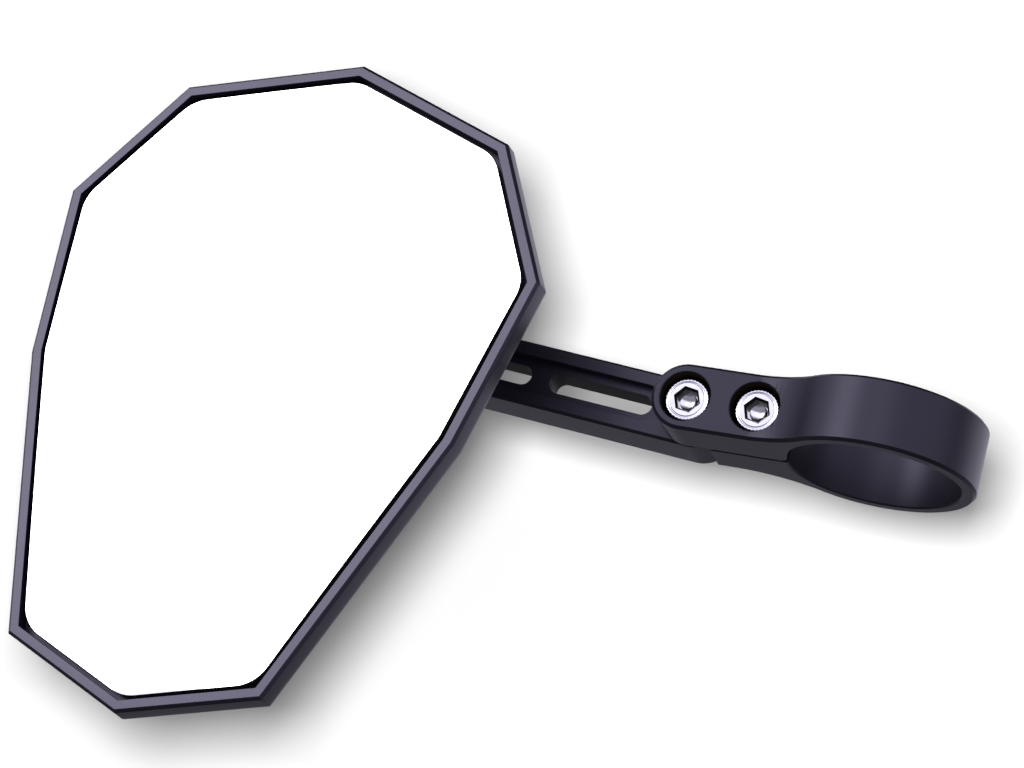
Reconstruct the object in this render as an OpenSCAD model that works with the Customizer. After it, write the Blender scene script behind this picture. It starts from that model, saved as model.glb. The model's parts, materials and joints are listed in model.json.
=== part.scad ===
// Motorcycle bar end mirror: a split clamp ring, a swinging arm and a mirror head on a ball joint.
// The origin is the centre of the clamp bore, X runs along the handlebar, Z points up the arm
// and -Y points to the rider, who sees the glass and the two bolt heads.

/* [Clamp ring] */
// Diameter of the bar end that the ring grips
bar_d = 34; // [25:0.5:40]
// Wall of the ring
ring_wall = 2.8; // [2.2:0.1:5]
// Width of the clamp along the bar
clamp_w = 13.4; // [12.8:0.2:18]
// Distance from the bore centre to the legs' front face
leg_front = 11.1; // [10.4:0.1:14]
// Distance from the bore centre to the lower leg's back face
leg_back = 8.6; // [7:0.1:12]
// Height of the clamping bolt above the bore centre
clamp_bolt_z = 23; // [22.6:0.1:26]
// Distance between the clamping bolt and the pivot bolt
bolt_pitch = 14; // [13.6:0.1:20]
// Width of the slit between the legs, and thickness of the pivot washer
slit_gap = 0.8; // [0.5:0.1:1.5]
// How far the slit's middle lies in front of the bore centre
slit_offset = 0.7; // [0:0.1:1.5]
// Fillet between the legs' front face and the ring
front_fillet = 20; // [4:0.5:24]
// Fillet between the lower leg's back face and the ring
back_fillet = 25; // [10:1:30]
// Gap between the arm's round end and the lower leg
end_gap = 1.5; // [0.8:0.1:3]
// Bevel along the clamp's outer edges
clamp_bevel = 0.6; // [0.2:0.1:1]
// Bevel round the bore's mouths
bore_bevel = 0.3; // [0.1:0.1:0.6]

/* [Cap bolts] */
// Thread diameter of the two cap bolts
bolt_d = 5; // [4:0.5:5]
// Length of the bolts under the head
bolt_len = 12; // [11:0.5:13]
// Diameter of the bolt heads
bolt_head_d = 8.7; // [8:0.1:9]
// Height of the bolt heads
bolt_head_h = 5; // [4:0.1:5.4]
// Width of the hexagon socket across its flats
bolt_hex = 4; // [3:0.5:5]
// Depth of the hexagon socket
bolt_hex_depth = 2.6; // [1.5:0.1:3]
// Diameter of the counterbores
cbore_d = 9.9; // [9.6:0.1:11]
// Depth of a bolt head's top below the leg's face
head_sink = 1.9; // [0.5:0.1:2.2]
// Bevel round the counterbores' mouths
cbore_bevel = 0.2; // [0.1:0.05:0.4]

/* [Arm] */
// Width of the arm
arm_w = 13; // [12:0.2:16]
// Thickness of the arm
arm_t = 10.6; // [9.6:0.2:14]
// Distance from the pivot bolt to the ball stud
arm_reach = 81.5; // [76:0.1:110]
// Angle of the arm to the clamp's legs
arm_angle = 5.2; // [-30:0.1:30]
// Width of the channels in the arm's front and back
channel_w = 7.4; // [6:0.1:9]
// Depth of each channel
channel_depth = 2.2; // [1:0.1:3]
// Width of the slots through the web
slot_w = 4; // [2:0.1:5]
// Length of each slot
slot_len = 21.8; // [16:0.1:22]
// Web left between one slot and the next
slot_web = 4; // [2.5:0.1:5]
// Distance from the pivot to the first slot
slot_start = 9.9; // [9.6:0.1:11]
// Bevel along the arm's edges
arm_bevel = 0.5; // [0.2:0.1:0.8]

/* [Ball joint] */
// Diameter of the ball
ball_d = 12; // [11:0.5:13]
// Height of the ball's centre in front of the arm
ball_standoff = 10.4; // [10.2:0.1:14]
// Diameter of the stud's neck
neck_d = 5.2; // [4:0.1:5.6]
// Thread diameter of the stud
stud_d = 6; // [5:0.5:6]
// Wall of the seat shell round the ball
seat_wall = 1.35; // [1:0.05:1.8]
// Furthest tilt of the head to each side of the stud's axis
max_tilt = 15; // [8:1:16]
// Running clearance in the ball joint
ball_fit = 0.05; // [0.02:0.01:0.1]

/* [Head on its ball] */
// Tilt of the head about the arm's cross axis
head_tilt = -5; // [-14:0.1:14]
// Turn of the head about the arm's long axis
head_turn = 1.5; // [-14:0.1:14]
// Roll of the head about its own normal
head_roll = -0.6; // [-40:0.1:40]

/* [Mirror head] */
// Length of the head from its low end to its high end
head_len = 140; // [120:0.5:160]
// Distance from the head's low end to the ball
head_ball = 92.7; // [70:0.1:100]
// Half width of the head at its widest corner
head_half_w = 53.3; // [46:0.1:62]
// Width of the flat land round the front of the rim
land_w = 2.35; // [1:0.05:3]
// Bevel outside the land
rim_bevel = 0.55; // [0.2:0.05:0.6]
// Depth of the rim's straight wall
rim_wall = 3.9; // [3.6:0.1:5]
// Depth at which the rim ends and the back starts
rim_depth = 5.2; // [5:0.1:6]
// Inset of the rim's rear edge
rim_draft = 0.3; // [0.1:0.05:0.8]
// Depth of the flat back
back_depth = 6.6; // [6.4:0.1:9]
// Width of the bevel between the rim and the flat back
back_bevel = 9; // [4:0.5:14]
// Depth of the pocket for the glass
pocket_depth = 3.2; // [3:0.1:3.6]

/* [Glass] */
// Radius of the convex glass
glass_radius = 1400; // [1000:50:2000]
// Thickness of the glass
glass_t = 2; // [1.6:0.1:2.2]
// Gap between the glass and the pocket's wall
glass_gap = 0.9; // [0.4:0.1:2]
// Rounding of the glass's corners
glass_round = 8; // [3:0.5:16]
// How far the middle of the glass stands in front of the land
glass_crown = 0.8; // [0.8:0.1:1.2]
// Inset of the foam pad behind the glass's edge
pad_inset = 2; // [1:0.1:5]

/* [Socket] */
// Depth of the ball's centre behind the land
ball_depth = 13; // [12.8:0.1:15]
// Diameter of the retaining plate
plate_d = 26; // [25:0.5:30]
// Thickness of the retaining plate
plate_t = 2; // [1.4:0.1:2.2]
// Diameter of the circle of the retaining screws
screw_circle_d = 20.8; // [20.4:0.1:22]
// Thread diameter of the retaining screws
screw_d = 2.5; // [2:0.1:3]
// Length of the retaining screws
screw_len = 6; // [4:0.1:7]
// Thickness of the disc spring's sheet
spring_t = 0.4; // [0.3:0.05:0.5]
// Height of the disc spring's cone
spring_rise = 0.2; // [0.1:0.05:0.3]

/* [Hidden] */
$fn = 96;

// Finishes
anodised = [0.23, 0.22, 0.27];
bright = [0.82, 0.82, 0.84];
steel = [0.55, 0.55, 0.57];
nylon = [0.90, 0.89, 0.84];
foam = [0.10, 0.10, 0.11];
mirror = [0.93, 0.95, 0.97];

// Clearances
cut = 1;              // how far a cutter runs past a face
seam = 0.03;          // how far a fillet's ends run under the faces that it joins
thread_fit = 0.02;    // a thread in its own hole, on the radius
shank_fit = 0.25;     // a shank in a clearance hole, on the radius
bond = 0.03;          // film between the pad and the glass

// Clamp
ring_r = bar_d / 2 + ring_wall;
pivot_z = clamp_bolt_z + bolt_pitch;
leg_rear = -slit_offset - slit_gap / 2;
arm_front = leg_rear + slit_gap;
cbore_depth = bolt_head_h + head_sink;
end_r = arm_w / 2 + end_gap;
corner_bevel = 1.2;

// Arm
channel_r = channel_w / 2;
slot_r = slot_w / 2;
slot_count = 2;
slot_pitch = slot_len + slot_web;
channel_lead = 1;      // how far a channel's end at the pivot runs past the slot's
channel_start = slot_start + slot_r - channel_r - channel_lead;
channel_end = slot_start + slot_pitch * (slot_count - 1) + slot_len - slot_r + channel_r;
washer_r = arm_w / 2 - arm_bevel;

// Stud, washers and nut
pivot_lock_t = 1;
washer_slit = 0.8;
nut_hex = 10;
nut_h = 3.2;
lock_washer_t = 1.2;
nut_step = nut_h + lock_washer_t + 0.1;
stud_seat_h = 1.5;
stud_seat_r = 5;

// Ball joint, with heights measured from the ball's centre towards the arm
ball_r = ball_d / 2;
seat_in = ball_r + ball_fit;
seat_out = seat_in + seat_wall;
socket_r = seat_out + ball_fit;
neck_r = neck_d / 2;
seat_open = asin(neck_r / seat_in) + max_tilt + 5;
seat_end = 82;
mouth_tilt = acos(cos(max_tilt) * cos(max_tilt));
boss_h = 5.6;
mouth_r = boss_h * tan(mouth_tilt) + neck_r / cos(mouth_tilt) + 0.15;
cup_back = seat_out * sin(max_tilt + seat_end - 90) + 0.2;
spring_h = spring_t + spring_rise;
plate_back = pocket_depth + 0.1 + plate_t;
cup_front = ball_depth - plate_back - spring_h;
plate_r = plate_d / 2;
plate_fit = 0.1;
boss_root_r = plate_r + 1.2;
boss_root_h = 2.5;
boss_end_r = socket_r + 2.8;
boss_bevel = 1;
vent_r = 2.4;
spring_bore_r = 3.4;
spring_r = seat_out - 0.3;

// Head outline: half of it as shares of the length from the low end, and of the half width
half_outline = [[0, 0], [0.069, 0.534], [0.474, 0.897], [0.727, 1], [0.92, 0.687], [1, 0]];
outline = concat(
    [for (p = half_outline) [p[0] * head_len - head_ball, p[1] * head_half_w]],
    [for (i = [4:-1:1]) [half_outline[i][0] * head_len - head_ball, -half_outline[i][1] * head_half_w]]);
glass_inset = land_w + glass_gap;
head_mid = head_len / 2 - head_ball;

// The same outline moved inwards by d on every side
function unit(v) = v / norm(v);
function side(p, i) = unit(p[(i + 1) % len(p)] - p[i % len(p)]);
function inward(v) = [v[1], -v[0]];
function inset(p, d) = [for (i = [0:len(p) - 1])
    let (a = inward(side(p, i + len(p) - 1)), b = inward(side(p, i)))
    p[i] + d * (a + b) / (1 + a * b)];

// Places of the assembly, each inside the one before
module at_pivot() translate([0, 0, pivot_z]) rotate([0, arm_angle, 0]) children();
module at_ball() at_pivot() translate([0, arm_front - ball_standoff, arm_reach]) children();
module on_seat() at_ball() rotate([head_tilt, 0, 0]) children();
// In the head, z is the depth behind the land and the ball's axis is the origin
module on_head() on_seat() rotate([0, 0, head_turn]) rotate([0, head_roll, 0])
    translate([0, -ball_depth, 0]) rotate([-90, 0, 0]) children();

// A shape drawn in Y and Z, extruded along X about the middle
module along_x(w) translate([-w / 2, 0, 0]) rotate([90, 0, 90]) linear_extrude(w) children();
// A shape of revolution about X, drawn as radius and x
module turned_about_x() rotate([0, 90, 0]) rotate_extrude() children();
// A shape of revolution about an axis that points to the back, drawn as radius and y
module turned_about_y() rotate([-90, 0, 0]) rotate_extrude() children();
// A round hole that starts at y and runs to the back
module bored(r, y, h) translate([0, y, 0]) rotate([-90, 0, 0]) cylinder(r = r, h = h);
// A hole with round ends along Z, which starts at y and runs to the back
module long_hole(r, z1, z2, y, h) {
    for (z = [z1 + r, z2 - r]) translate([0, 0, z]) bored(r, y, h);
    translate([-r, y, z1 + r]) cube([2 * r, h, z2 - z1 - 2 * r]);
}

// Clamp ring with its two legs, one machined piece
module ring_blank() turned_about_x() polygon([
    [0, -clamp_w / 2],
    [ring_r - clamp_bevel, -clamp_w / 2],
    [ring_r, -clamp_w / 2 + clamp_bevel],
    [ring_r, clamp_w / 2 - clamp_bevel],
    [ring_r - clamp_bevel, clamp_w / 2],
    [0, clamp_w / 2]]);

// A leg's section, with bevels along the face at y = face
module leg_section(face, rear) {
    toward = face < rear ? 1 : -1;
    half = clamp_w / 2;
    polygon([
        [-half, rear],
        [-half, face + toward * clamp_bevel],
        [-half + clamp_bevel, face],
        [half - clamp_bevel, face],
        [half, face + toward * clamp_bevel],
        [half, rear]]);
}

module upper_leg() {
    linear_extrude(pivot_z) leg_section(-leg_front, leg_rear);
    translate([0, 0, pivot_z]) turned_about_y() polygon([
        [0, leg_rear],
        [clamp_w / 2, leg_rear],
        [clamp_w / 2, -leg_front + clamp_bevel],
        [clamp_w / 2 - clamp_bevel, -leg_front],
        [0, -leg_front]]);
}

module lower_leg() difference() {
    linear_extrude(pivot_z - clamp_w / 4) leg_section(leg_back, arm_front);
    translate([0, 0, pivot_z]) bored(end_r, -leg_front, leg_front + leg_back + cut);
}

// Web that fills the corner between the ring and a leg's face with a fillet of radius r
module web(face, r) {
    out = face < 0 ? -1 : 1;
    centre_y = abs(face) + r;
    centre_z = sqrt(pow(ring_r + r, 2) - pow(centre_y, 2));
    foot = ring_r / (ring_r + r);
    difference() {
        along_x(clamp_w) polygon([
            [out * (abs(face) - 2), centre_z * foot - 2],
            [out * centre_y * foot, centre_z * foot],
            [out * (abs(face) + 0.01), centre_z],
            [out * (abs(face) - 2), centre_z]]);
        translate([0, out * centre_y, centre_z]) turned_about_x() polygon([
            [0, -clamp_w / 2 - cut],
            [r + seam + clamp_bevel + cut, -clamp_w / 2 - cut],
            [r + seam, -clamp_w / 2 + clamp_bevel],
            [r + seam, clamp_w / 2 - clamp_bevel],
            [r + seam + clamp_bevel + cut, clamp_w / 2 + cut],
            [0, clamp_w / 2 + cut]]);
    }
}

// Bore with a bevelled mouth at each side
module bore_cut() turned_about_x() polygon([
    [0, -clamp_w / 2 - cut],
    [bar_d / 2 + bore_bevel + cut, -clamp_w / 2 - cut],
    [bar_d / 2, -clamp_w / 2 + bore_bevel],
    [bar_d / 2, clamp_w / 2 - bore_bevel],
    [bar_d / 2 + bore_bevel + cut, clamp_w / 2 + cut],
    [0, clamp_w / 2 + cut]]);

// Counterbore with a bevelled mouth, clear through the fillet in front, and a clearance hole behind it
module bolt_seat_cut(depth) turned_about_y() polygon([
    [0, -ring_r],
    [cbore_d / 2 + cbore_bevel, -ring_r],
    [cbore_d / 2 + cbore_bevel, -leg_front],
    [cbore_d / 2, -leg_front + cbore_bevel],
    [cbore_d / 2, -leg_front + depth],
    [bolt_d / 2 + shank_fit, -leg_front + depth],
    [bolt_d / 2 + shank_fit, leg_rear + slit_gap / 2],
    [0, leg_rear + slit_gap / 2]]);

module clamp_ring() color(anodised) difference() {
    union() {
        ring_blank();
        upper_leg();
        lower_leg();
        web(-leg_front, front_fillet);
        web(leg_back, back_fillet);
    }
    bore_cut();
    translate([-clamp_w, leg_rear, 0]) cube([2 * clamp_w, slit_gap, pivot_z + clamp_w]);
    // The corner where the slit enters the bore is broken
    along_x(clamp_w + 2 * cut) polygon([
        [arm_front, bar_d / 2 - cut],
        [leg_rear - corner_bevel, bar_d / 2 - cut],
        [leg_rear, bar_d / 2 + corner_bevel],
        [arm_front, bar_d / 2 + corner_bevel]]);
    translate([0, 0, pivot_z]) bolt_seat_cut(cbore_depth + pivot_lock_t);
    translate([0, 0, clamp_bolt_z]) {
        bolt_seat_cut(cbore_depth);
        bored(bolt_d / 2 + thread_fit, leg_rear, leg_back + ring_r);
    }
}

// Socket-head cap bolt: y = 0 is under the head and the shank runs to the back
module cap_bolt() color(bright) {
    rounding = 0.25;
    difference() {
        turned_about_y() polygon([
            [0, -bolt_head_h],
            [bolt_head_d / 2 - rounding, -bolt_head_h],
            [bolt_head_d / 2 - rounding * 0.3, -bolt_head_h + rounding * 0.3],
            [bolt_head_d / 2, -bolt_head_h + rounding],
            [bolt_head_d / 2, 0],
            [bolt_d / 2, 0],
            [bolt_d / 2, bolt_len - 0.6],
            [bolt_d / 2 - 0.6, bolt_len],
            [0, bolt_len]]);
        hexagon_cut(bolt_hex, -bolt_head_h, bolt_hex_depth);
    }
}

// Hexagon socket with a drill point at its bottom and a countersunk mouth
module hexagon_cut(flats, y, depth) {
    corner = flats / sqrt(3);
    mouth = corner + 0.3;
    translate([0, y - cut, 0]) rotate([-90, 0, 0]) cylinder(r = corner, h = depth + cut, $fn = 6);
    turned_about_y() polygon([
        [0, y - cut],
        [mouth + cut, y - cut],
        [corner - 0.1, y + mouth - corner + 0.1],
        [0, y + mouth - corner + 0.1]]);
    turned_about_y() polygon([
        [0, y + depth - 0.1],
        [flats / 2, y + depth - 0.1],
        [0, y + depth + 0.5]]);
}

module clamp_bolt() translate([0, -leg_front + cbore_depth, clamp_bolt_z]) rotate([0, 12, 0]) cap_bolt();
module pivot_bolt() translate([0, -leg_front + cbore_depth, pivot_z]) rotate([0, -8, 0]) cap_bolt();

// Split spring washer that lies against y = 0, with the slit turned away from the axes
module split_washer(inner_r, outer_r, t) difference() {
    bored(outer_r, 0, t);
    bored(inner_r, -cut, t + 2 * cut);
    translate([0, -cut, -washer_slit / 2]) rotate([0, 20, 0]) cube([2 * outer_r, t + 2 * cut, washer_slit]);
}

module pivot_lock_washer() color(steel) translate([0, -leg_front + cbore_depth, pivot_z])
    split_washer(bolt_d / 2 + shank_fit, bolt_head_d / 2 + 0.2, pivot_lock_t);

// Washer between the leg and the arm, as thick as the slit
module pivot_washer() color(steel) translate([0, 0, pivot_z]) difference() {
    bored(washer_r, leg_rear, slit_gap);
    bored(bolt_d / 2 + shank_fit, leg_rear - cut, slit_gap + 2 * cut);
}

// Arm of I section with round ends; the back is stepped at the ball's end for the stud's nut
module arm_end() turned_about_y() polygon([
    [0, 0],
    [arm_w / 2 - arm_bevel, 0],
    [arm_w / 2, arm_bevel],
    [arm_w / 2, arm_t - arm_bevel],
    [arm_w / 2 - arm_bevel, arm_t],
    [0, arm_t]]);

module arm_bar() linear_extrude(arm_reach) polygon([
    [-arm_w / 2, arm_bevel],
    [-arm_w / 2 + arm_bevel, 0],
    [arm_w / 2 - arm_bevel, 0],
    [arm_w / 2, arm_bevel],
    [arm_w / 2, arm_t - arm_bevel],
    [arm_w / 2 - arm_bevel, arm_t],
    [-arm_w / 2 + arm_bevel, arm_t],
    [-arm_w / 2, arm_t - arm_bevel]]);

module arm() color(anodised) at_pivot() translate([0, arm_front, 0]) difference() {
    union() {
        arm_end();
        arm_bar();
        translate([0, 0, arm_reach]) arm_end();
    }
    long_hole(channel_r, channel_start, channel_end, -cut, channel_depth + cut);
    long_hole(channel_r, channel_start, channel_end, arm_t - channel_depth, channel_depth + cut);
    for (i = [0:slot_count - 1]) {
        start = slot_start + i * slot_pitch;
        long_hole(slot_r, start, start + slot_len, 0, arm_t);
    }
    bored(bolt_d / 2 + thread_fit, -cut, arm_t + 2 * cut);
    translate([0, 0, arm_reach]) bored(stud_d / 2 + ball_fit, -cut, arm_t + 2 * cut);
    translate([-arm_w, arm_t - nut_step, arm_reach - arm_w / 2 - 1]) cube([2 * arm_w, arm_t, 2 * arm_w]);
}

// Ball stud: the ball, its neck, the seat on the arm and the threaded shank
module ball_stud() color(bright) at_ball() {
    sphere(r = ball_r);
    shank_end = ball_standoff + arm_t;
    turned_about_y() polygon([
        [0, 0],
        [neck_r, 0],
        [neck_r, ball_standoff - stud_seat_h],
        [stud_seat_r - 0.5, ball_standoff - stud_seat_h],
        [stud_seat_r, ball_standoff - stud_seat_h + 0.5],
        [stud_seat_r, ball_standoff],
        [stud_d / 2, ball_standoff],
        [stud_d / 2, shank_end - 0.6],
        [stud_d / 2 - 0.6, shank_end],
        [0, shank_end]]);
}

module stud_lock_washer() color(steel) at_ball() translate([0, ball_standoff + arm_t - nut_step, 0])
    split_washer(stud_d / 2 + 0.1, nut_hex / 2 + 0.3, lock_washer_t);

module stud_nut() color(steel) at_ball() {
    y = ball_standoff + arm_t - nut_step + lock_washer_t;
    corner = nut_hex / sqrt(3);
    difference() {
        intersection() {
            translate([0, y, 0]) rotate([-90, 0, 0]) cylinder(r = corner, h = nut_h, $fn = 6);
            turned_about_y() polygon([
                [0, y],
                [nut_hex / 2, y],
                [corner + 0.1, y + 0.5],
                [corner + 0.1, y + nut_h - 0.5],
                [nut_hex / 2, y + nut_h],
                [0, y + nut_h]]);
        }
        bored(stud_d / 2 + thread_fit, y - cut, nut_h + 2 * cut);
    }
}

// Seat shell: a zone of a hollow sphere that turns with the ball's tilt
module ball_seat() color(nylon) on_seat() turned_about_y() intersection() {
    difference() {
        circle(r = seat_out);
        circle(r = seat_in);
    }
    far = 2 * seat_out;
    polygon([
        [0, 0],
        [far * sin(seat_open), far * cos(seat_open)],
        [far, far],
        [far * sin(seat_end), far * cos(seat_end)]]);
}

// Cup that presses the ball into its seat from the front
module pressure_cup() color(nylon) on_head() translate([0, 0, ball_depth - cup_front]) difference() {
    cylinder(r = seat_out, h = cup_front - cup_back);
    translate([0, 0, cup_front]) sphere(r = seat_in);
    translate([0, 0, -cut]) cylinder(r = vent_r, h = cup_front);
}

// Disc spring between the cup and the plate
module disc_spring() color(steel) on_head() translate([0, 0, plate_back]) rotate_extrude() polygon([
    [spring_bore_r, 0],
    [spring_r, spring_rise],
    [spring_r, spring_rise + spring_t],
    [spring_bore_r, spring_t]]);

// Countersink of a retaining screw, drawn from the plate's front face
module countersink(r, fit) rotate_extrude() polygon([
    [0, 0],
    [r * 1.8 + fit, 0],
    [r * 1.8 + fit, 0.2],
    [r + fit, 0.2 + r * 0.8],
    [0, 0.2 + r * 0.8]]);

module retaining_plate() color(steel) on_head() translate([0, 0, plate_back - plate_t]) difference() {
    cylinder(r = plate_r, h = plate_t);
    translate([0, 0, -cut]) cylinder(r = vent_r, h = plate_t + 2 * cut);
    for (i = [0:3]) at_screw(i) {
        translate([0, 0, -cut]) cylinder(r = screw_d / 2 + 0.1, h = plate_t + 2 * cut);
        translate([0, 0, -0.001]) countersink(screw_d / 2, 0.1);
    }
}

module at_screw(i) rotate([0, 0, 45 + 90 * i]) translate([screw_circle_d / 2, 0, 0]) children();

module retaining_screw(i) color(steel) on_head() translate([0, 0, plate_back - plate_t]) at_screw(i)
    difference() {
        union() {
            countersink(screw_d / 2, 0);
            cylinder(r = screw_d / 2, h = screw_len);
        }
        translate([0, 0, -cut]) cylinder(r = screw_d * 0.36, h = cut + 1.1, $fn = 6);
    }

module retaining_screw_1() retaining_screw(0);
module retaining_screw_2() retaining_screw(1);
module retaining_screw_3() retaining_screw(2);
module retaining_screw_4() retaining_screw(3);

// Cuts a bevel along every side of the outline, through [inset, depth] a and b
module bevel_cut(a, b) {
    far = 2 * head_len;
    lean = atan2(b[1] - a[1], a[0] - b[0]);
    for (i = [0:len(outline) - 1]) {
        p = inset(outline, a[0])[i];
        along = side(outline, i);
        translate([p[0], p[1], a[1]]) rotate([0, 0, atan2(along[1], along[0])]) rotate([lean, 0, 0])
            translate([-far, -far, -far]) cube([2 * far, 2 * far, far]);
    }
}

module housing_body() difference() {
    linear_extrude(back_depth) polygon(outline);
    bevel_cut([rim_bevel, 0], [0, rim_bevel]);
    bevel_cut([0, rim_wall], [rim_draft, rim_depth]);
    bevel_cut([rim_draft, rim_depth], [back_bevel, back_depth]);
}

module mirror_housing() color(anodised) on_head() difference() {
    union() {
        housing_body();
        // Boss of the ball socket
        rotate_extrude() polygon([
            [0, back_depth - 1],
            [boss_root_r, back_depth - 1],
            [boss_root_r, back_depth + boss_root_h],
            [boss_end_r, ball_depth + boss_h - boss_bevel],
            [boss_end_r - boss_bevel, ball_depth + boss_h],
            [0, ball_depth + boss_h]]);
    }
    translate([0, 0, -cut]) linear_extrude(pocket_depth + cut) polygon(inset(outline, land_w));
    cylinder(r = plate_r + plate_fit, h = plate_back);
    cylinder(r = socket_r, h = ball_depth);
    translate([0, 0, ball_depth]) sphere(r = socket_r);
    translate([0, 0, ball_depth]) cylinder(r = mouth_r, h = boss_h + cut);
    for (i = [0:3]) at_screw(i)
        cylinder(r = screw_d / 2 + thread_fit, h = plate_back - plate_t + screw_len + 0.5);
}

// Outline of the glass, with round corners
module glass_outline(d) offset(r = glass_round) polygon(inset(outline, glass_inset + d + glass_round));

// A lens on a sphere whose centre lies far behind the head, down to a depth
module lens(r, depth) translate([head_mid, 0, 0]) rotate_extrude() intersection() {
    translate([0, glass_radius - glass_crown]) circle(r = r, $fn = 1440);
    translate([0, -2 * glass_crown]) square([head_len, depth + 2 * glass_crown]);
}

// Half section of the pad: its front follows the back of the glass, as short straight steps
module pad_section() {
    back_r = glass_radius - glass_t - bond;
    front = glass_t + bond - glass_crown;
    steps = 24;
    radii = [for (i = [0:steps]) head_len * i / steps];
    intersection() {
        polygon(concat(
            [for (x = radii) [x, front + back_r - sqrt(back_r * back_r - x * x)]],
            [[head_len, head_len], [0, head_len]]));
        square([head_len, pocket_depth]);
    }
}

module glass_pad() color(foam) on_head() intersection() {
    linear_extrude(pocket_depth) glass_outline(pad_inset);
    translate([head_mid, 0, 0]) rotate_extrude() pad_section();
}

module mirror_glass() color(mirror) on_head() difference() {
    intersection() {
        translate([0, 0, -2 * glass_crown]) linear_extrude(pocket_depth + 2 * glass_crown) glass_outline(0);
        lens(glass_radius, pocket_depth);
    }
    lens(glass_radius - glass_t, pocket_depth + cut);
}

clamp_ring();
clamp_bolt();
pivot_bolt();
pivot_lock_washer();
pivot_washer();
arm();
ball_stud();
stud_lock_washer();
stud_nut();
ball_seat();
pressure_cup();
disc_spring();
retaining_plate();
retaining_screw_1();
retaining_screw_2();
retaining_screw_3();
retaining_screw_4();
mirror_housing();
glass_pad();
mirror_glass();
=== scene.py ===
import json
import math

import bpy
from mathutils import Matrix, Vector

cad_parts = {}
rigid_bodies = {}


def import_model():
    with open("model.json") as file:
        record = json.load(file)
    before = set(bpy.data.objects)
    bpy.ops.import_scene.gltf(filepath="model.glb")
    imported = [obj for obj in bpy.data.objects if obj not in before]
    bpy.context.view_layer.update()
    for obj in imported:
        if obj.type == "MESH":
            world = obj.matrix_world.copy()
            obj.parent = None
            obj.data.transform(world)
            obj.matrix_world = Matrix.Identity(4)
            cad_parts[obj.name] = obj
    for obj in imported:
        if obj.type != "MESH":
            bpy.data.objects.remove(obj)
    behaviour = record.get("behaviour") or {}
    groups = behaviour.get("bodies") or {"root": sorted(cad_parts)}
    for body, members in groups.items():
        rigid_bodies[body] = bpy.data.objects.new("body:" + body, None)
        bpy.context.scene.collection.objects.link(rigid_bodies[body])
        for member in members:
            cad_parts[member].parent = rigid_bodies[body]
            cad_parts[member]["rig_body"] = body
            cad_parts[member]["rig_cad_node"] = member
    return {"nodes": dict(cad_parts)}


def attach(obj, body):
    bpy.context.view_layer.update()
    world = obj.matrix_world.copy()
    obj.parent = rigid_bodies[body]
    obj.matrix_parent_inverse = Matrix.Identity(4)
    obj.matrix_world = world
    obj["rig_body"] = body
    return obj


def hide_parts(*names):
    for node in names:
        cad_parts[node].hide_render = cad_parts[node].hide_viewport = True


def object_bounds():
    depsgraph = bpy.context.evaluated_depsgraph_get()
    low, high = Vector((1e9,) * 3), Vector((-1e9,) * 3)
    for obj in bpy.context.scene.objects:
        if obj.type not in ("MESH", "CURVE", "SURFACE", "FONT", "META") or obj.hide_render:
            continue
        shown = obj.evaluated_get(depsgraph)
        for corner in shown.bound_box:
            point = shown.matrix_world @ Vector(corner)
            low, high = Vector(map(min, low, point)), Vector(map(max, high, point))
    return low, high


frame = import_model()
cad_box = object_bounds()
mm = 0.001

# Camera
# It stands in front of the rider's side, a little below the ring and to the right, and is rolled so
# that the handlebar's axis runs up the picture and the arm runs to the left.
camera_place = Vector((-0.19999, -0.62063, -0.14101))
camera_right = Vector((0.24235, 0.24876, -0.93776))
camera_up = Vector((0.92526, -0.35001, 0.14627))
camera_forward = Vector((0.29184, 0.90311, 0.31499))
bpy.ops.object.camera_add(location=camera_place)
camera = bpy.context.object
camera.name = "camera"
camera.data.lens = 121.86
camera.data.sensor_width = 36
camera.data.clip_start = 0.02
camera.data.clip_end = 20
camera_turn = Matrix((camera_right, camera_up, -camera_forward)).transposed()
camera.rotation_euler = camera_turn.to_euler()
bpy.context.scene.camera = camera
bpy.context.scene.view_settings.view_transform = "Standard"

# Clamp ring
# One block of aluminium, milled to a split ring with two legs, bead blasted and black anodised.
# Its bevels were cut before anodising, and the blasting has broken every edge a little.
anodised_dark = (0.0062, 0.0057, 0.0100, 1)
anodised_pale = (0.0112, 0.0102, 0.0180, 1)
anodised_tint = (0.78, 0.74, 1.0, 1)
anodised_ior = 1.53
blasted_rough = 0.40
milled_edge = 0.09 * mm


def group_node(group, kind, **settings):
    """A node inside a node group, with its properties set."""
    made = group.nodes.new(kind)
    for name, value in settings.items():
        setattr(made, name, value)
    return made


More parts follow.
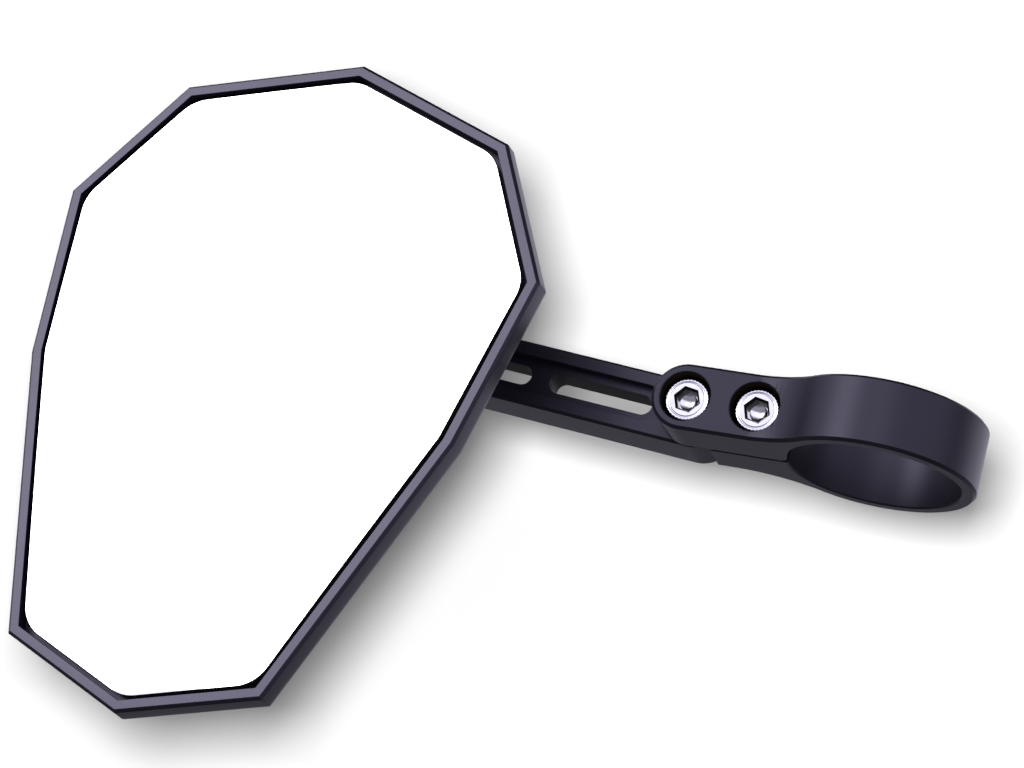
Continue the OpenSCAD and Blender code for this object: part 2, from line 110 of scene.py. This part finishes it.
def surface_group(name, cloud_share):
    """Fine grain over soft clouds: gives a tone from 0 to 1, a roughness and a normal."""
    group = bpy.data.node_groups.new(name, "ShaderNodeTree")
    face = group.interface
    for label, value in (("Grain", 6000.0), ("Clouds", 60.0), ("Rough", 0.3), ("Spread", 0.1),
            ("Depth", 0.1)):
        socket = face.new_socket(label, in_out="INPUT", socket_type="NodeSocketFloat")
        socket.default_value = value
    face.new_socket("Tone", in_out="OUTPUT", socket_type="NodeSocketFloat")
    face.new_socket("Roughness", in_out="OUTPUT", socket_type="NodeSocketFloat")
    face.new_socket("Normal", in_out="OUTPUT", socket_type="NodeSocketVector")
    given = group_node(group, "NodeGroupInput")
    gives = group_node(group, "NodeGroupOutput")
    place = group_node(group, "ShaderNodeTexCoord")
    grain = group_node(group, "ShaderNodeTexNoise")
    grain.inputs["Detail"].default_value = 3
    clouds = group_node(group, "ShaderNodeTexNoise")
    clouds.inputs["Detail"].default_value = 4
    tone = group_node(group, "ShaderNodeMix", data_type="FLOAT")
    tone.inputs["Factor"].default_value = cloud_share
    bump = group_node(group, "ShaderNodeBump")
    bump.inputs["Distance"].default_value = 0.02 * mm
    spread = group_node(group, "ShaderNodeMath", operation="MULTIPLY_ADD")
    link = group.links.new
    link(place.outputs["Object"], grain.inputs["Vector"])
    link(place.outputs["Object"], clouds.inputs["Vector"])
    link(given.outputs["Grain"], grain.inputs["Scale"])
    link(given.outputs["Clouds"], clouds.inputs["Scale"])
    link(given.outputs["Depth"], bump.inputs["Strength"])
    link(grain.outputs["Fac"], bump.inputs["Height"])
    link(grain.outputs["Fac"], tone.inputs["A"])
    link(clouds.outputs["Fac"], tone.inputs["B"])
    link(tone.outputs["Result"], spread.inputs[0])
    link(given.outputs["Spread"], spread.inputs[1])
    link(given.outputs["Rough"], spread.inputs[2])
    link(tone.outputs["Result"], gives.inputs["Tone"])
    link(spread.outputs["Value"], gives.inputs["Roughness"])
    link(bump.outputs["Normal"], gives.inputs["Normal"])
    return group


blasted_surface = surface_group("blasted_surface", 0.6)


def finish_of(name, surface_kind, dark, pale, values, **settings):
    """A material whose colour runs from dark to pale over a surface group's tone."""
    material = bpy.data.materials.new(name)
    material.use_nodes = True
    nodes = material.node_tree.nodes
    link = material.node_tree.links.new
    shader = nodes["Principled BSDF"]
    for socket, value in settings.items():
        shader.inputs[socket.replace("_", " ")].default_value = value
    surface = nodes.new("ShaderNodeGroup")
    surface.node_tree = surface_kind
    for socket, value in values.items():
        surface.inputs[socket].default_value = value
    ramp = nodes.new("ShaderNodeValToRGB")
    ramp.color_ramp.elements[0].position = 0.3
    ramp.color_ramp.elements[0].color = dark
    ramp.color_ramp.elements[1].position = 0.7
    ramp.color_ramp.elements[1].color = pale
    link(surface.outputs["Tone"], ramp.inputs["Fac"])
    link(ramp.outputs["Color"], shader.inputs["Base Color"])
    link(surface.outputs["Roughness"], shader.inputs["Roughness"])
    link(surface.outputs["Normal"], shader.inputs["Normal"])
    return material


anodised = finish_of(
    "black_anodised", blasted_surface, anodised_dark, anodised_pale,
    {"Grain": 6000.0, "Clouds": 45.0, "Rough": blasted_rough - 0.05, "Spread": 0.1, "Depth": 0.12},
    Specular_Tint=anodised_tint, IOR=anodised_ior)


def select_only(piece):
    bpy.ops.object.select_all(action="DESELECT")
    piece.select_set(True)
    bpy.context.view_layer.objects.active = piece


def select_faces(piece, test):
    """Enters edit mode with the faces selected that pass the test."""
    select_only(piece)
    bpy.ops.object.mode_set(mode="EDIT")
    bpy.ops.mesh.select_mode(type="FACE")
    bpy.ops.mesh.select_all(action="DESELECT")
    bpy.ops.object.mode_set(mode="OBJECT")
    for face in piece.data.polygons:
        face.select = test(face)
    bpy.ops.object.mode_set(mode="EDIT")


def finish_faces(piece, test):
    """Gives the faces that pass the test the piece's second material."""
    select_faces(piece, test)
    piece.active_material_index = 1
    bpy.ops.object.material_slot_assign()
    bpy.ops.object.mode_set(mode="OBJECT")


def apply_modifier(piece, kind, **settings):
    select_only(piece)
    modifier = piece.modifiers.new(kind.lower(), kind)
    for name, value in settings.items():
        setattr(modifier, name, value)
    bpy.ops.object.modifier_apply(modifier=modifier.name)


def copy_of(node, name):
    """A free copy of a CAD node, with its loose triangles merged to whole faces."""
    select_only(frame["nodes"][node])
    bpy.ops.object.duplicate()
    piece = bpy.context.object
    piece.name = name
    piece.data.name = name
    piece.parent = None
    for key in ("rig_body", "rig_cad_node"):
        if key in piece:
            del piece[key]
    bpy.ops.object.mode_set(mode="EDIT")
    bpy.ops.mesh.select_all(action="SELECT")
    bpy.ops.mesh.remove_doubles(threshold=0.001 * mm)
    bpy.ops.mesh.dissolve_limited(angle_limit=math.radians(0.4))
    bpy.ops.mesh.customdata_custom_splitnormals_clear()
    bpy.ops.object.mode_set(mode="OBJECT")
    return piece


def place_piece(piece, body, nodes=(), smooth=32):
    """The piece's place goes into its mesh, it rides on a body and stands for its CAD nodes."""
    select_only(piece)
    bpy.ops.object.transform_apply(location=True, rotation=True, scale=True)
    bpy.ops.object.shade_smooth_by_angle(angle=math.radians(smooth))
    apply_modifier(piece, "WEIGHTED_NORMAL", keep_sharp=True)
    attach(piece, body)
    if nodes:
        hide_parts(*nodes)


def dress(piece, *materials):
    piece.data.materials.clear()
    for material in materials:
        piece.data.materials.append(material)


def break_edges(piece, width):
    """Rounds every sharp edge a little, as blasting or tumbling does."""
    apply_modifier(piece, "BEVEL", width=width, segments=2, limit_method="ANGLE",
        angle_limit=math.radians(22), use_clamp_overlap=True)


# The bolt seats are cut by boring. Their walls get a dull dark brown colour with no reflection, which is
# painted shade for the shade inside the seats.
seat_shade = finish_of(
    "seat_painted_shade", blasted_surface, (0.0120, 0.0085, 0.0065, 1), (0.0220, 0.0160, 0.0125, 1),
    {"Grain": 6000.0, "Clouds": 45.0, "Rough": 0.6, "Spread": 0.1, "Depth": 0.12},
    Specular_IOR_Level=0.0)
seat_heights = (23 * mm, 37 * mm)
seat_radius = 4.95 * mm
leg_front = -11.1 * mm


def in_seat(face):
    """A face on the wall of one of the bolt seats, behind the bevel of its mouth: these faces take the
    painted shade.
    """
    along = min(math.hypot(face.center.x, face.center.z - height) for height in seat_heights)
    return (abs(face.normal.y) < 0.3 and along < seat_radius + 0.05 * mm
        and face.center.y > leg_front + 0.1 * mm)


milled_clamp = copy_of("clamp_ring", "milled_clamp")
break_edges(milled_clamp, milled_edge)
dress(milled_clamp, anodised, seat_shade)
# The seat walls take the painted shade.
finish_faces(milled_clamp, in_seat)
place_piece(milled_clamp, "clamp", ["clamp_ring"])

# Cap bolts
# Two socket-head bolts of bright stainless steel, forged with a knurled side and a broached hexagon,
# with rolled threads. The lower one draws the slit together and the upper one is the arm's pivot.
head_d = 9.0 * mm
head_h = 5 * mm
thread_d = 5 * mm
thread_pitch = 0.8 * mm
hexagon = 4 * mm
hexagon_depth = 2.1 * mm
hexagon_lip = 0.50 * mm
drill_radius = 1.9 * mm
drill_depth = 1.3 * mm
groove_radius = 3.55 * mm
groove_round = 0.30 * mm
knurl_teeth = 36
knurl_root = 0.968
head_round = 0.35 * mm
head_rounding = ((0.15 * mm, 0.985), (0.12 * mm, 0.965), (0.08 * mm, 0.94))
thread_chamfer = 0.5 * mm
bolt_bottom = -4.2 * mm
bolt_length = 12 * mm
clamp_screw_turn = 12
pivot_screw_turn = 10

bright_steel = finish_of("bright_steel", blasted_surface, (0.80, 0.80, 0.88, 1), (0.93, 0.93, 0.99, 1),
    {"Grain": 2500.0, "Clouds": 500.0, "Rough": 0.08, "Spread": 0.12, "Depth": 0.05}, Metallic=1.0)
# Dark steel for the walls and mouth of the hexagon socket: painted shade for the shade inside the socket.
socket_shade_steel = finish_of(
    "socket_shade_steel", blasted_surface, (0.040, 0.033, 0.030, 1), (0.13, 0.11, 0.10, 1),
    {"Grain": 2500.0, "Clouds": 900.0, "Rough": 0.22, "Spread": 0.15, "Depth": 0.08}, Metallic=1.0)


def extrude_ring(along, size):
    """Extrudes the selected faces along Y, and resizes their outline about the Y axis."""
    bpy.ops.mesh.extrude_region_move(TRANSFORM_OT_translate={"value": (0, along, 0)})
    bpy.ops.transform.resize(value=(size, 1, size), center_override=(0, 0, 0))


def cut_with(piece, cutter, operation="DIFFERENCE"):
    apply_modifier(piece, "BOOLEAN", object=cutter, operation=operation, solver="EXACT")
    bpy.data.objects.remove(cutter)


def threaded_shank(radius, pitch, y_low, y_high, chamfer):
    """A solid screw thread about Y: a V profile wound up, cut square at both ends and chamfered."""
    thread_depth = 0.613 * pitch
    root = radius - thread_depth
    flat = pitch / 8
    turns = math.ceil((y_high - y_low) / pitch) + 2
    bpy.ops.mesh.primitive_plane_add(size=0.1 * mm, location=(0, 0, 0))
    shank = bpy.context.object
    bpy.ops.object.mode_set(mode="EDIT")
    bpy.ops.mesh.select_mode(type="VERT")
    bpy.ops.mesh.select_all(action="SELECT")
    bpy.ops.mesh.merge(type="CENTER")
    bpy.ops.transform.translate(value=(root, y_low - pitch, 0))
    flank = (pitch - flat) / 2
    for step in ((radius - root, flank, 0), (0, flat, 0), (root - radius, flank, 0)):
        bpy.ops.mesh.extrude_vertices_move(TRANSFORM_OT_translate={"value": step})
    bpy.ops.object.mode_set(mode="OBJECT")
    apply_modifier(shank, "SCREW", axis="Y", screw_offset=pitch, iterations=turns, steps=32,
        render_steps=32, use_merge_vertices=True, merge_threshold=0.001 * mm, use_smooth_shade=False)
    bpy.ops.object.mode_set(mode="EDIT")
    bpy.ops.mesh.select_all(action="SELECT")
    bpy.ops.mesh.remove_doubles(threshold=0.001 * mm)
    for height, way in ((y_low, -1), (y_high, 1)):
        bpy.ops.mesh.select_all(action="SELECT")
        bpy.ops.mesh.bisect(plane_co=(0, height, 0), plane_no=(0, way, 0), use_fill=True, clear_outer=True,
            threshold=0.001 * mm)
    bpy.ops.mesh.select_all(action="SELECT")
    bpy.ops.mesh.normals_make_consistent(inside=False)
    bpy.ops.object.mode_set(mode="OBJECT")
    bpy.ops.mesh.primitive_cone_add(vertices=64, radius1=radius + 5 * mm - chamfer,
        radius2=radius - chamfer, depth=5 * mm, location=(0, y_high - 2.5 * mm, 0),
        rotation=(-math.pi / 2, 0, 0))
    cone = bpy.context.object
    select_faces(cone, lambda face: face.center.z < -2 * mm)
    bpy.ops.mesh.extrude_region_move(TRANSFORM_OT_translate={"value": (0, -(y_high - y_low), 0)})
    bpy.ops.object.mode_set(mode="OBJECT")
    cut_with(shank, cone, "INTERSECT")
    return shank


def cap_bolt(name):
    """A bolt about Y whose head's under side lies at y = 0 and whose thread runs to +Y."""
    bpy.ops.mesh.primitive_circle_add(vertices=2 * knurl_teeth, radius=head_d / 2, fill_type="NGON",
        location=(0, 0, 0), rotation=(math.pi / 2, 0, 0))
    bolt = bpy.context.object
    bolt.name = name
    bolt.data.name = name
    bpy.ops.object.transform_apply(location=True, rotation=True, scale=True)
    bpy.ops.object.mode_set(mode="EDIT")
    extrude_ring(-(head_h - head_round), 1)
    bpy.ops.mesh.select_mode(type="VERT")
    bpy.ops.mesh.select_all(action="DESELECT")
    bpy.ops.object.mode_set(mode="OBJECT")
    for vertex in bolt.data.vertices:
        tooth = math.atan2(vertex.co.z, vertex.co.x) * knurl_teeth / math.pi
        vertex.select = round(tooth) % 2 == 1
    bpy.ops.object.mode_set(mode="EDIT")
    bpy.ops.transform.resize(value=(knurl_root, 1, knurl_root), center_override=(0, 0, 0))
    bpy.ops.object.mode_set(mode="OBJECT")
    select_faces(bolt, lambda face: face.normal.y < -0.9)
    for along, size in head_rounding:
        extrude_ring(-along, size)
    bpy.ops.mesh.select_all(action="SELECT")
    bpy.ops.mesh.normals_make_consistent(inside=False)
    bpy.ops.object.mode_set(mode="OBJECT")
    corner = hexagon / math.sqrt(3)
    top = -head_h
    bpy.ops.mesh.primitive_cylinder_add(vertices=6, radius=corner, depth=2 * hexagon_depth,
        location=(0, top, 0), rotation=(math.pi / 2, 0, 0))
    cut_with(bolt, bpy.context.object)
    mouth = corner + hexagon_lip
    bpy.ops.mesh.primitive_cone_add(vertices=6, radius1=mouth + 0.3 * mm, radius2=mouth - 0.5 * mm,
        depth=0.9 * mm, location=(0, top + 0.1 * mm, 0), rotation=(-math.pi / 2, 0, 0))
    cut_with(bolt, bpy.context.object)
    bpy.ops.mesh.primitive_torus_add(major_radius=groove_radius, minor_radius=groove_round,
        major_segments=72, minor_segments=16, location=(0, top - 0.20 * mm, 0),
        rotation=(math.pi / 2, 0, 0))
    cut_with(bolt, bpy.context.object)
    bpy.ops.mesh.primitive_cone_add(vertices=48, radius1=drill_radius, radius2=0, depth=drill_depth,
        location=(0, top + hexagon_depth + drill_depth / 2 - 0.1 * mm, 0), rotation=(-math.pi / 2, 0, 0))
    cut_with(bolt, bpy.context.object)
    shank = threaded_shank(thread_d / 2, thread_pitch, -0.1 * mm, bolt_length, thread_chamfer)
    cut_with(bolt, shank, "UNION")
    dress(bolt, bright_steel, socket_shade_steel)
    # The socket's walls and mouth take the dark steel, which is painted shade.
    finish_faces(bolt, lambda face: top + 0.1 * mm < face.center.y < top + hexagon_depth - 0.1 * mm
        and abs(face.normal.y) < 0.9 and math.hypot(face.center.x, face.center.z) < mouth)
    return bolt


def fit_bolt(bolt, height, turn):
    """Turns a bolt about its own axis and moves it to its hole."""
    select_only(bolt)
    bolt.rotation_euler = (0, math.radians(turn), 0)
    bolt.location = (0, bolt_bottom, height)


clamp_screw = cap_bolt("clamp_screw")
select_only(clamp_screw)
bpy.ops.object.duplicate()
pivot_screw = bpy.context.object
pivot_screw.name = "pivot_screw"
fit_bolt(clamp_screw, seat_heights[0], clamp_screw_turn)
fit_bolt(pivot_screw, seat_heights[1], pivot_screw_turn)
place_piece(clamp_screw, "clamp", ["clamp_bolt"], smooth=22)
place_piece(pivot_screw, "arm", ["pivot_bolt"], smooth=22)

# Arm
# A milled bar of I section with two long slots through its web, finished as the clamp is.
# It swings on the pivot bolt, and its back is stepped for the stud's nut.
pivot_height = seat_heights[1]
arm_angle = 5.2
slot_half = 2.2 * mm
slot_start = 9.5 * mm
slot_end = 58 * mm
# The walls of the slots get a dull colour with little reflection, which is painted shade for the shade
# inside the slots.
slot_shade = finish_of(
    "slot_painted_shade", blasted_surface, (0.014, 0.012, 0.013, 1), (0.028, 0.024, 0.026, 1),
    {"Grain": 6000.0, "Clouds": 45.0, "Rough": 0.5, "Spread": 0.1, "Depth": 0.12},
    Specular_IOR_Level=0.1)


def in_slot(face):
    """A face on the wall of one of the arm's slots, which takes the painted slot shade."""
    into_arm = Matrix.Rotation(math.radians(-arm_angle), 4, "Y")
    place = into_arm @ (face.center - Vector((0, 0, pivot_height)))
    return abs(face.normal.y) < 0.3 and abs(place.x) < slot_half and slot_start < place.z < slot_end


milled_arm = copy_of("arm", "milled_arm")
break_edges(milled_arm, milled_edge)
dress(milled_arm, anodised, slot_shade)
# The slot walls take the painted shade.
finish_faces(milled_arm, in_slot)
place_piece(milled_arm, "arm", ["arm"])

# Washers and nut
# Turned and stamped from steel and zinc plated: the split washers keep the bolt and the nut tight.
stamped_edge = 0.12 * mm
zinc = finish_of("zinc_plate", blasted_surface, (0.34, 0.34, 0.36, 1), (0.56, 0.56, 0.58, 1),
    {"Grain": 3000.0, "Clouds": 300.0, "Rough": 0.22, "Spread": 0.2, "Depth": 0.08}, Metallic=1.0)
for node, name in (("pivot_lock_washer", "pivot_split_washer"), ("pivot_washer", "pivot_flat_washer"),
        ("stud_lock_washer", "stud_split_washer"), ("stud_nut", "hexagon_nut")):
    washer = copy_of(node, name)
    break_edges(washer, stamped_edge)
    dress(washer, zinc)
    place_piece(washer, "arm", [node])


def keep_node(node, material, smooth=26):
    """A CAD node whose own shape is right gets its finish, with its small facets shaded smooth."""
    piece = frame["nodes"][node]
    select_only(piece)
    bpy.ops.object.shade_smooth_by_angle(angle=math.radians(smooth))
    dress(piece, material)


# The cup's disc spring, the retaining plate and its screws have the same zinc and keep their shapes.
for node in ("disc_spring", "retaining_plate", "retaining_screw_1", "retaining_screw_2",
        "retaining_screw_3", "retaining_screw_4"):
    keep_node(node, zinc)

# Ball stud
# Turned and polished steel: a ball on a slim neck, a collar that seats on the arm, and a thread.
turned_edge = 0.08 * mm
ball_stud = copy_of("ball_stud", "turned_ball_stud")
break_edges(ball_stud, turned_edge)
dress(ball_stud, bright_steel)
place_piece(ball_stud, "arm", ["ball_stud"])

# Seat and cup
# Moulded nylon shells that hold the ball with steady friction.
nylon = finish_of("nylon", blasted_surface, (0.70, 0.69, 0.62, 1), (0.82, 0.81, 0.75, 1),
    {"Grain": 900.0, "Clouds": 120.0, "Rough": 0.40, "Spread": 0.1, "Depth": 0.05})
for node in ("ball_seat", "pressure_cup"):
    keep_node(node, nylon)

# Mirror housing
# A ten-sided plate with a bevelled rim and back and a round socket boss, milled in one piece. The
# narrow land round the glass was skimmed last and is smoother than the blasted faces.
arm_reach = 81.5 * mm
ball_y = -10.7 * mm
head_tilt = -5
head_turn = 1.5
head_roll = -0.6
ball_depth = 13 * mm


def turned(angle, axis):
    return Matrix.Rotation(math.radians(angle), 4, axis)


# In the head, x is its long axis, y its cross axis and z the depth behind the land.
head_place = (Matrix.Translation((0, 0, pivot_height)) @ turned(arm_angle, "Y")
    @ Matrix.Translation((0, ball_y, arm_reach)) @ turned(head_tilt, "X") @ turned(head_turn, "Z")
    @ turned(head_roll, "Y") @ Matrix.Translation((0, -ball_depth, 0)) @ turned(-90, "X"))
into_head = head_place.inverted()
head_back = head_place.to_3x3() @ Vector((0, 0, 1))

skimmed_ior = 1.6
skimmed = finish_of(
    "skimmed_anodised", blasted_surface, (0.010, 0.0095, 0.0145, 1), (0.018, 0.0172, 0.0260, 1),
    {"Grain": 5000.0, "Clouds": 60.0, "Rough": 0.22, "Spread": 0.1, "Depth": 0.15},
    Specular_Tint=anodised_tint, IOR=skimmed_ior)
milled_head = copy_of("mirror_housing", "milled_head")
break_edges(milled_head, milled_edge)
dress(milled_head, anodised, skimmed)
finish_faces(milled_head, lambda face: face.normal.dot(head_back) < -0.999
    and (into_head @ face.center).z < 0.05 * mm)
place_piece(milled_head, "head", ["mirror_housing"])

# Glass pad
# Closed cell foam with adhesive on both sides.
foam = finish_of("foam", blasted_surface, (0.012, 0.012, 0.013, 1), (0.03, 0.03, 0.032, 1),
    {"Grain": 2500.0, "Clouds": 200.0, "Rough": 0.75, "Spread": 0.1, "Depth": 0.6})
keep_node("glass_pad", foam)

# Mirror glass
# Convex glass, ground round its edge and silvered, bonded into the pocket on the pad. Its front
# is a part of a large sphere, so it is made as a fine sheet that is cast to that sphere.
glass_radius = 1400 * mm
glass_crown = 0.8 * mm
glass_thick = 2 * mm
glass_middle = -22.7 * mm
glass_cell = 3 * mm
glass_reach = ((0, 75 * mm), (1, 54 * mm))
ground_edge = 0.25 * mm
silver = bpy.data.materials.new("silvered_glass")
silver.use_nodes = True
shader = silver.node_tree.nodes["Principled BSDF"]
shader.inputs["Base Color"].default_value = (1, 1, 1, 1)
shader.inputs["Metallic"].default_value = 1
shader.inputs["Roughness"].default_value = 0.0
ground_glass = finish_of("ground_glass", blasted_surface, (0.010, 0.014, 0.014, 1), (0.03, 0.04, 0.04, 1),
    {"Grain": 1500.0, "Clouds": 200.0, "Rough": 0.25, "Spread": 0.2, "Depth": 0.1})
mirror_glass = copy_of("mirror_glass", "bonded_glass")
select_faces(mirror_glass, lambda face: face.normal.dot(head_back) > -0.9)
bpy.ops.mesh.delete(type="FACE")
bpy.ops.object.mode_set(mode="OBJECT")
mirror_glass.matrix_world = into_head
bpy.ops.object.transform_apply(location=True, rotation=True, scale=True)
bpy.ops.object.mode_set(mode="EDIT")
bpy.ops.mesh.select_all(action="SELECT")
bpy.ops.transform.resize(value=(1, 1, 0), center_override=(0, 0, -glass_crown))
bpy.ops.mesh.dissolve_limited(angle_limit=math.radians(0.5))
for axis, reach in glass_reach:
    cuts = math.floor(reach / glass_cell)
    for cut in range(-cuts, cuts + 1):
        point = Vector((glass_middle, 0, 0))
        point[axis] += cut * glass_cell
        normal = Vector((0, 0, 0))
        normal[axis] = 1
        bpy.ops.mesh.select_all(action="SELECT")
        bpy.ops.mesh.bisect(plane_co=point, plane_no=normal, threshold=0.001 * mm)
bpy.ops.object.mode_set(mode="OBJECT")
bpy.ops.object.empty_add(location=(glass_middle, 0, glass_radius - glass_crown))
sphere_centre = bpy.context.object
apply_modifier(mirror_glass, "CAST", object=sphere_centre, cast_type="SPHERE", factor=1.0,
    size=glass_radius, use_radius_as_size=False)
bpy.data.objects.remove(sphere_centre)
apply_modifier(mirror_glass, "SOLIDIFY", thickness=glass_thick, offset=-1, use_even_offset=True)
apply_modifier(mirror_glass, "BEVEL", width=ground_edge, segments=2, limit_method="ANGLE",
    angle_limit=math.radians(50))
mirror_glass.matrix_world = head_place
select_only(mirror_glass)
bpy.ops.object.transform_apply(location=True, rotation=True, scale=True)
dress(mirror_glass, ground_glass, silver)
finish_faces(mirror_glass, lambda face: face.normal.dot(head_back) < -0.985)
place_piece(mirror_glass, "head", ["mirror_glass"], smooth=8)

# Table and light
# The part hangs in front of a white table top, which stands half way between square to the camera and
# square to the part, and takes its soft shadow. It has one side, and reflections don't show it.
table_gap = 0.020
table_size = 3.0
table_white = (0.36, 0.36, 0.36, 1)
bpy.ops.object.select_all(action="DESELECT")
low, high = cad_box
facing = (camera_forward + Vector((0, 1, 0))).normalized()
far = max(Vector((x, y, z)).dot(facing) for x in (low[0], high[0]) for y in (low[1], high[1])
    for z in (low[2], high[2]))
middle = (Vector(low) + Vector(high)) / 2
table_place = middle + facing * (far + table_gap - middle.dot(facing))
bpy.ops.mesh.primitive_plane_add(size=table_size, location=table_place,
    rotation=(-facing).to_track_quat("Z", "Y").to_euler())
table = bpy.context.object
table.name = "table"
table_top = bpy.data.materials.new("table_top")
table_top.use_nodes = True
nodes = table_top.node_tree.nodes
link = table_top.node_tree.links.new
shader = nodes["Principled BSDF"]
shader.inputs["Base Color"].default_value = table_white
shader.inputs["Roughness"].default_value = 0.9
shader.inputs["Specular IOR Level"].default_value = 0.0
clear = nodes.new("ShaderNodeBsdfTransparent")
side = nodes.new("ShaderNodeNewGeometry")
mix = nodes.new("ShaderNodeMixShader")
link(side.outputs["Backfacing"], mix.inputs["Fac"])
link(shader.outputs["BSDF"], mix.inputs[1])
link(clear.outputs["BSDF"], mix.inputs[2])
link(mix.outputs["Shader"], nodes["Material Output"].inputs["Surface"])
table.data.materials.append(table_top)
table.visible_glossy = False


def towards(right, up, back):
    """A direction given in the picture: to its right, up it, and back to the camera."""
    return (camera_right * right + camera_up * up - camera_forward * back).normalized()


def softbox(name, aim, direction, distance, size, radiance):
    """A square area lamp that looks at a point from a direction, as bright as it is told."""
    bpy.ops.object.light_add(type="AREA", location=aim + direction * distance)
    lamp = bpy.context.object
    lamp.name = name
    lamp.data.shape = "SQUARE"
    lamp.data.size = size
    lamp.data.energy = radiance * math.pi * size * size
    lamp.rotation_euler = (-direction).to_track_quat("-Z", "Y").to_euler()
    lamp.visible_camera = False
    return lamp


def light_only(lamp, thing):
    """Limits a lamp to one thing, on which the others still cast their shadows."""
    receivers = bpy.data.collections.new(lamp.name + "_receivers")
    receivers.objects.link(thing)
    lamp.light_linking.receiver_collection = receivers
    for entry in receivers.collection_objects:
        entry.light_linking.link_state = "INCLUDE"


head_middle = head_place @ Vector((glass_middle, 0, 0))
key_direction = Vector((0.3284, -0.7837, 0.5269)).normalized()
softbox("key_light", head_middle, key_direction, distance=1.4, size=0.6, radiance=4.4)
fill_direction = Vector((0.29, -0.95, -0.06)).normalized()
softbox("fill_light", Vector((0, 0, 0)), fill_direction, distance=1.2, size=0.45, radiance=1.6)

# A lamp beside the camera lights the table alone, so its shadow is even round the whole part.
part_depth = 0.663
table_light = softbox("table_light", camera_place + camera_forward * part_depth, towards(-0.052, 0.064, 1),
    distance=part_depth, size=0.105, radiance=375)
light_only(table_light, table)

# Studio walls
# White walls stand in front of the part and to its right. Above and below them the room is dim,
# which only reflections show: bevels and sides that face up or down stay dark.
seen_strength = 1.0
ambient_strength = 0.6
room_tint = (1.03, 1.01, 1.18, 1)
world = bpy.data.worlds.new("studio")
bpy.context.scene.world = world
world.use_nodes = True
nodes = world.node_tree.nodes
link = world.node_tree.links.new
background = nodes["Background"]
path = nodes.new("ShaderNodeLightPath")
seen = nodes.new("ShaderNodeMath")
seen.operation = "MAXIMUM"
link(path.outputs["Is Camera Ray"], seen.inputs[0])
link(path.outputs["Is Glossy Ray"], seen.inputs[1])
strength = nodes.new("ShaderNodeMapRange")
strength.inputs["To Min"].default_value = ambient_strength
strength.inputs["To Max"].default_value = seen_strength
link(seen.outputs["Value"], strength.inputs["Value"])
link(strength.outputs["Result"], background.inputs["Strength"])
place = nodes.new("ShaderNodeTexCoord")
split = nodes.new("ShaderNodeSeparateXYZ")
link(place.outputs["Generated"], split.inputs["Vector"])


def wall_bands(axis, stops):
    """Bands of brightness along one axis of the room, each stop a direction's part and a level."""
    part = nodes.new("ShaderNodeMapRange")
    part.inputs["From Min"].default_value = -1
    bands = nodes.new("ShaderNodeValToRGB")
    ramp = bands.color_ramp.elements
    ramp[0].position = 0
    ramp[0].color = (stops[0][1],) * 3 + (1,)
    ramp[1].position = 1
    ramp[1].color = (stops[-1][1],) * 3 + (1,)
    for along, level in stops[1:-1]:
        ramp.new((along + 1) / 2).color = (level,) * 3 + (1,)
    link(split.outputs[axis], part.inputs["Value"])
    link(part.outputs["Result"], bands.inputs["Fac"])
    return bands.outputs["Color"]


low_to_high = wall_bands("X", ((-1, 0.06), (-0.8, 0.02), (-0.5, 0.26), (-0.12, 0.22), (0.06, 1.0),
    (0.6, 1.0), (0.76, 0.05), (1, 0.05)))
front_to_back = wall_bands("Y", ((-1, 1.0), (-0.2, 1.0), (0.1, 0.2), (0.3, 0.2), (0.6, 1.0), (1, 1.0)))


def colour_mix(blend):
    """A mix node for colours, at full factor."""
    made = nodes.new("ShaderNodeMix")
    made.data_type = "RGBA"
    made.blend_type = blend
    made.inputs["Factor"].default_value = 1
    return made


room = colour_mix("MULTIPLY")
link(low_to_high, room.inputs["A"])
link(front_to_back, room.inputs["B"])
tinted = colour_mix("MULTIPLY")
tinted.inputs["B"].default_value = room_tint
link(room.outputs["Result"], tinted.inputs["A"])

# The camera sees plain white, and reflections see the tinted room.
shown = colour_mix("MIX")
shown.inputs["A"].default_value = (1, 1, 1, 1)
link(path.outputs["Is Glossy Ray"], shown.inputs["Factor"])
link(tinted.outputs["Result"], shown.inputs["B"])
link(shown.outputs["Result"], background.inputs["Color"])
